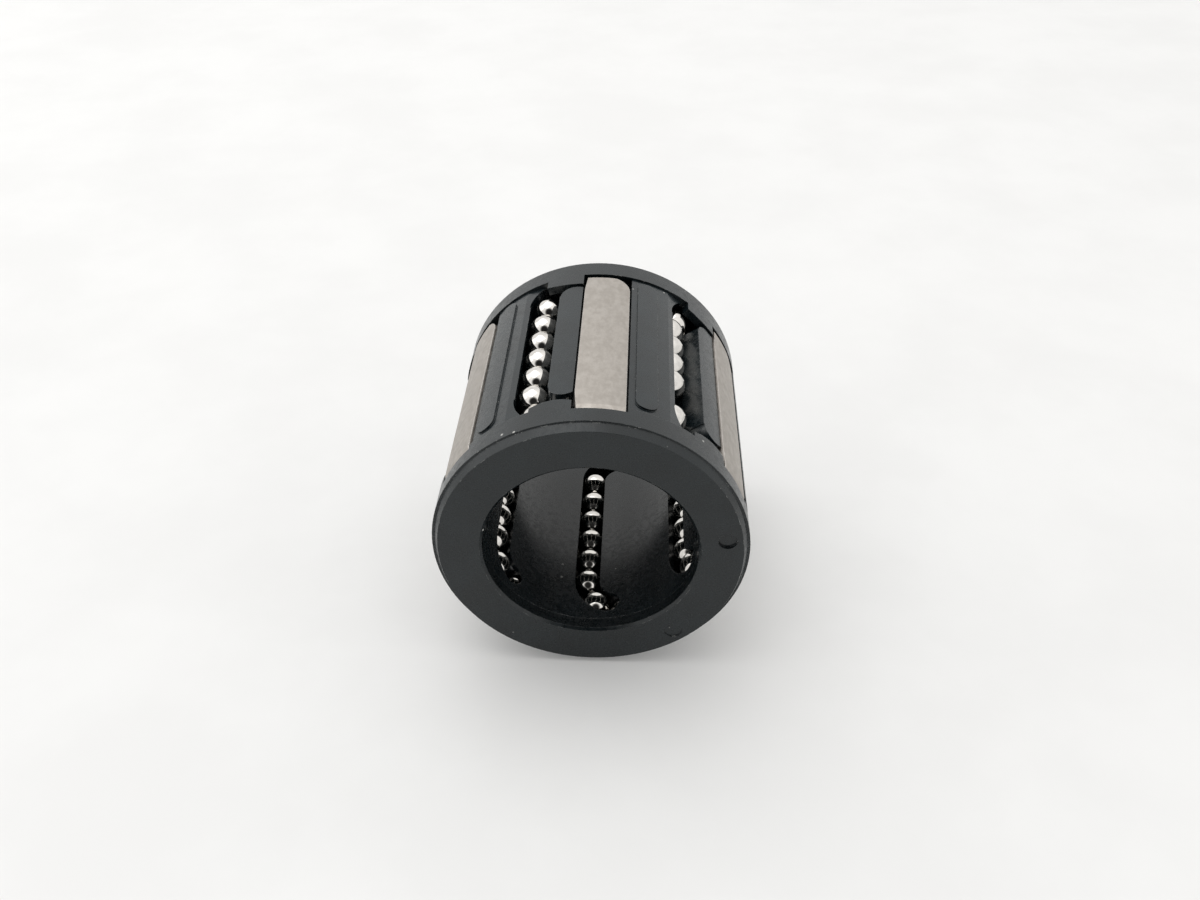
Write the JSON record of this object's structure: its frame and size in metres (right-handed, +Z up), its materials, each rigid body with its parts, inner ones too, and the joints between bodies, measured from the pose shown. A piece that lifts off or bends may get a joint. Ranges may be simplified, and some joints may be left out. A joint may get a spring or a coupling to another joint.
{
  "type": "linear ball bushing",
  "caption": "Cylindrical linear ball bushing: moulded cage with end rings, steel raceway plates let into its outside, and recirculating ball circuits that carry a shaft",
  "frame": {"origin": "centre of the shaft bore, half way along the bushing", "axes": "the shaft runs along Y with the front face at -Y; the bushing lies on its side with +Z up; the first raceway plate is 3 degrees from +Z towards +X"},
  "size_m": [0.03, 0.03, 0.03],
  "materials": {
    "cage_plastic": "moulded black, slightly grey in the light",
    "ring_plastic": "moulded black, finely textured, worn at the rim",
    "plate_steel": "ground and hardened, warm light grey, bright broken edges",
    "ball_steel": "polished bearing balls"
  },
  "bodies": {
    "bushing": {"ball_cage": "cage_plastic", "front_end_ring": "ring_plastic", "rear_end_ring": "ring_plastic", "raceway_plate_1": "plate_steel", "raceway_plate_2": "plate_steel", "raceway_plate_3": "plate_steel", "raceway_plate_4": "plate_steel", "raceway_plate_5": "plate_steel", "raceway_plate_6": "plate_steel"},
    "loaded_balls_1": {"loaded_balls_1": "ball_steel"},
    "return_balls_1": {"return_balls_1": "ball_steel"},
    "front_turn_balls_1": {"front_turn_balls_1": "ball_steel"},
    "rear_turn_balls_1": {"rear_turn_balls_1": "ball_steel"},
    "loaded_balls_2": {"loaded_balls_2": "ball_steel"},
    "return_balls_2": {"return_balls_2": "ball_steel"},
    "front_turn_balls_2": {"front_turn_balls_2": "ball_steel"},
    "rear_turn_balls_2": {"rear_turn_balls_2": "ball_steel"},
    "loaded_balls_3": {"loaded_balls_3": "ball_steel"},
    "return_balls_3": {"return_balls_3": "ball_steel"},
    "front_turn_balls_3": {"front_turn_balls_3": "ball_steel"},
    "rear_turn_balls_3": {"rear_turn_balls_3": "ball_steel"},
    "loaded_balls_4": {"loaded_balls_4": "ball_steel"},
    "return_balls_4": {"return_balls_4": "ball_steel"},
    "front_turn_balls_4": {"front_turn_balls_4": "ball_steel"},
    "rear_turn_balls_4": {"rear_turn_balls_4": "ball_steel"},
    "loaded_balls_5": {"loaded_balls_5": "ball_steel"},
    "return_balls_5": {"return_balls_5": "ball_steel"},
    "front_turn_balls_5": {"front_turn_balls_5": "ball_steel"},
    "rear_turn_balls_5": {"rear_turn_balls_5": "ball_steel"},
    "loaded_balls_6": {"loaded_balls_6": "ball_steel"},
    "return_balls_6": {"return_balls_6": "ball_steel"},
    "front_turn_balls_6": {"front_turn_balls_6": "ball_steel"},
    "rear_turn_balls_6": {"rear_turn_balls_6": "ball_steel"}
  },
  "joints": [
    {"name": "circuit_1_feed", "type": "slide", "parent": "bushing", "child": "loaded_balls_1", "axis": [0, 1, 0], "range_m": [-0.00187, 0.00133]},
    {"name": "circuit_1_return", "type": "slide", "parent": "bushing", "child": "return_balls_1", "axis": [0, 1, 0], "range_m": [-0.00133, 0.00187]},
    {"name": "circuit_1_front_turn", "type": "hinge", "parent": "bushing", "child": "front_turn_balls_1", "pos_m": [-0.00248, -0.0083, 0.01151], "axis": [-0.0294, 0.0349, 0.999], "range_deg": [-34.74, 24.72]},
    {"name": "circuit_1_rear_turn", "type": "hinge", "parent": "bushing", "child": "rear_turn_balls_1", "pos_m": [-0.00248, 0.0083, 0.01151], "axis": [-0.0294, -0.0349, 0.999], "range_deg": [-34.74, 24.72]},
    {"name": "circuit_2_feed", "type": "slide", "parent": "bushing", "child": "loaded_balls_2", "axis": [0, 1, 0], "range_m": [-0.0005, 0.0008]},
    {"name": "circuit_2_return", "type": "slide", "parent": "bushing", "child": "return_balls_2", "axis": [0, 1, 0], "range_m": [-0.0008, 0.0005]},
    {"name": "circuit_2_front_turn", "type": "hinge", "parent": "bushing", "child": "front_turn_balls_2", "pos_m": [0.00872, -0.0083, 0.0079], "axis": [0.8504, 0.0349, 0.525], "range_deg": [-9.32, 14.89]},
    {"name": "circuit_2_rear_turn", "type": "hinge", "parent": "bushing", "child": "rear_turn_balls_2", "pos_m": [0.00872, 0.0083, 0.0079], "axis": [0.8504, -0.0349, 0.525], "range_deg": [-9.32, 14.89]},
    {"name": "circuit_3_feed", "type": "slide", "parent": "bushing", "child": "loaded_balls_3", "axis": [0, 1, 0], "range_m": [-0.00046, 0.00274]},
    {"name": "circuit_3_return", "type": "slide", "parent": "bushing", "child": "return_balls_3", "axis": [0, 1, 0], "range_m": [-0.00274, 0.00046]},
    {"name": "circuit_3_front_turn", "type": "hinge", "parent": "bushing", "child": "front_turn_balls_3", "pos_m": [0.0112, -0.0083, -0.00361], "axis": [0.8798, 0.0349, -0.474], "range_deg": [-8.58, 50.87]},
    {"name": "circuit_3_rear_turn", "type": "hinge", "parent": "bushing", "child": "rear_turn_balls_3", "pos_m": [0.0112, 0.0083, -0.00361], "axis": [0.8798, -0.0349, -0.474], "range_deg": [-8.58, 50.87]},
    {"name": "circuit_4_feed", "type": "slide", "parent": "bushing", "child": "loaded_balls_4", "axis": [0, 1, 0], "range_m": [-0.0006, 0.0026]},
    {"name": "circuit_4_return", "type": "slide", "parent": "bushing", "child": "return_balls_4", "axis": [0, 1, 0], "range_m": [-0.0026, 0.0006]},
    {"name": "circuit_4_front_turn", "type": "hinge", "parent": "bushing", "child": "front_turn_balls_4", "pos_m": [0.00248, -0.0083, -0.01151], "axis": [0.0294, 0.0349, -0.999], "range_deg": [-11.18, 48.28]},
    {"name": "circuit_4_rear_turn", "type": "hinge", "parent": "bushing", "child": "rear_turn_balls_4", "pos_m": [0.00248, 0.0083, -0.01151], "axis": [0.0294, -0.0349, -0.999], "range_deg": [-11.18, 48.28]},
    {"name": "circuit_5_feed", "type": "slide", "parent": "bushing", "child": "loaded_balls_5", "axis": [0, 1, 0], "range_m": [-0.0006, 0.0026]},
    {"name": "circuit_5_return", "type": "slide", "parent": "bushing", "child": "return_balls_5", "axis": [0, 1, 0], "range_m": [-0.0026, 0.0006]},
    {"name": "circuit_5_front_turn", "type": "hinge", "parent": "bushing", "child": "front_turn_balls_5", "pos_m": [-0.00872, -0.0083, -0.0079], "axis": [-0.8504, 0.0349, -0.525], "range_deg": [-11.18, 48.28]},
    {"name": "circuit_5_rear_turn", "type": "hinge", "parent": "bushing", "child": "rear_turn_balls_5", "pos_m": [-0.00872, 0.0083, -0.0079], "axis": [-0.8504, -0.0349, -0.525], "range_deg": [-11.18, 48.28]},
    {"name": "circuit_6_feed", "type": "slide", "parent": "bushing", "child": "loaded_balls_6", "axis": [0, 1, 0], "range_m": [-0.00215, 0.00105]},
    {"name": "circuit_6_return", "type": "slide", "parent": "bushing", "child": "return_balls_6", "axis": [0, 1, 0], "range_m": [-0.00105, 0.00215]},
    {"name": "circuit_6_front_turn", "type": "hinge", "parent": "bushing", "child": "front_turn_balls_6", "pos_m": [-0.0112, -0.0083, 0.00361], "axis": [-0.8798, 0.0349, 0.474], "range_deg": [-39.93, 19.53]},
    {"name": "circuit_6_rear_turn", "type": "hinge", "parent": "bushing", "child": "rear_turn_balls_6", "pos_m": [-0.0112, 0.0083, 0.00361], "axis": [-0.8798, -0.0349, 0.474], "range_deg": [-39.93, 19.53]}
  ],
  "couplings": [
    {"joint": "circuit_1_return", "follows": "circuit_1_feed", "ratio": -1},
    {"joint": "circuit_1_front_turn", "follows": "circuit_1_feed", "rad_per_m": 323.74},
    {"joint": "circuit_1_rear_turn", "follows": "circuit_1_feed", "rad_per_m": 323.74},
    {"joint": "circuit_2_return", "follows": "circuit_2_feed", "ratio": -1},
    {"joint": "circuit_2_front_turn", "follows": "circuit_2_feed", "rad_per_m": 323.74},
    {"joint": "circuit_2_rear_turn", "follows": "circuit_2_feed", "rad_per_m": 323.74},
    {"joint": "circuit_3_return", "follows": "circuit_3_feed", "ratio": -1},
    {"joint": "circuit_3_front_turn", "follows": "circuit_3_feed", "rad_per_m": 323.74},
    {"joint": "circuit_3_rear_turn", "follows": "circuit_3_feed", "rad_per_m": 323.74},
    {"joint": "circuit_4_return", "follows": "circuit_4_feed", "ratio": -1},
    {"joint": "circuit_4_front_turn", "follows": "circuit_4_feed", "rad_per_m": 323.74},
    {"joint": "circuit_4_rear_turn", "follows": "circuit_4_feed", "rad_per_m": 323.74},
    {"joint": "circuit_5_return", "follows": "circuit_5_feed", "ratio": -1},
    {"joint": "circuit_5_front_turn", "follows": "circuit_5_feed", "rad_per_m": 323.74},
    {"joint": "circuit_5_rear_turn", "follows": "circuit_5_feed", "rad_per_m": 323.74},
    {"joint": "circuit_6_return", "follows": "circuit_6_feed", "ratio": -1},
    {"joint": "circuit_6_front_turn", "follows": "circuit_6_feed", "rad_per_m": 323.74},
    {"joint": "circuit_6_rear_turn", "follows": "circuit_6_feed", "rad_per_m": 323.74}
  ]
}
